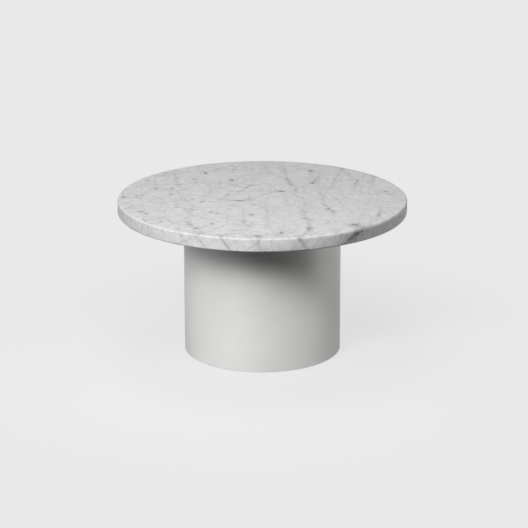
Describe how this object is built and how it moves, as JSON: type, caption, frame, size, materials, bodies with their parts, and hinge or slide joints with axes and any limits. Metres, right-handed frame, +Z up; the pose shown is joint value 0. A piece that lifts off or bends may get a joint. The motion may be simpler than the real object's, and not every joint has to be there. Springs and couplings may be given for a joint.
{
  "type": "side table",
  "caption": "Low round side table: a thick marble disc with eased edges, screwed to a ring inside a plain cylindrical steel drum that stands on recessed glides.",
  "frame": {"origin": "on the floor, under the common centre of the drum and the top", "axes": "+Z up along the drum's axis; the drum's inner seam weld faces the back, +Y; the front faces -Y"},
  "size_m": [0.55, 0.55, 0.3],
  "materials": {
    "marble": "honed white marble with fine grey veins",
    "coated_steel": "satin white powder coat",
    "coated_weld": "rippled weld bead under satin white powder coat",
    "zinc_steel": "bright zinc plated",
    "brass": "turned",
    "resin": "cured epoxy",
    "pad_rubber": "moulded, matt",
    "glide_nylon": "moulded, satin"
  },
  "bodies": {
    "root": {"stone_top": "marble", "anchor_resin": "resin", "stone_anchors": "brass", "top_screws": "zinc_steel", "top_washers": "zinc_steel", "top_ring": "coated_steel", "top_ring_welds": "coated_weld", "drum_shell": "coated_steel", "seam_weld": "coated_weld", "bottom_ring": "coated_steel", "bottom_ring_welds": "coated_weld", "glide_screws": "zinc_steel", "top_pad_1": "pad_rubber", "top_pad_2": "pad_rubber", "top_pad_3": "pad_rubber", "top_pad_4": "pad_rubber", "glide_1": "glide_nylon", "glide_2": "glide_nylon", "glide_3": "glide_nylon", "glide_4": "glide_nylon", "glide_5": "glide_nylon", "glide_6": "glide_nylon"}
  },
  "joints": []
}
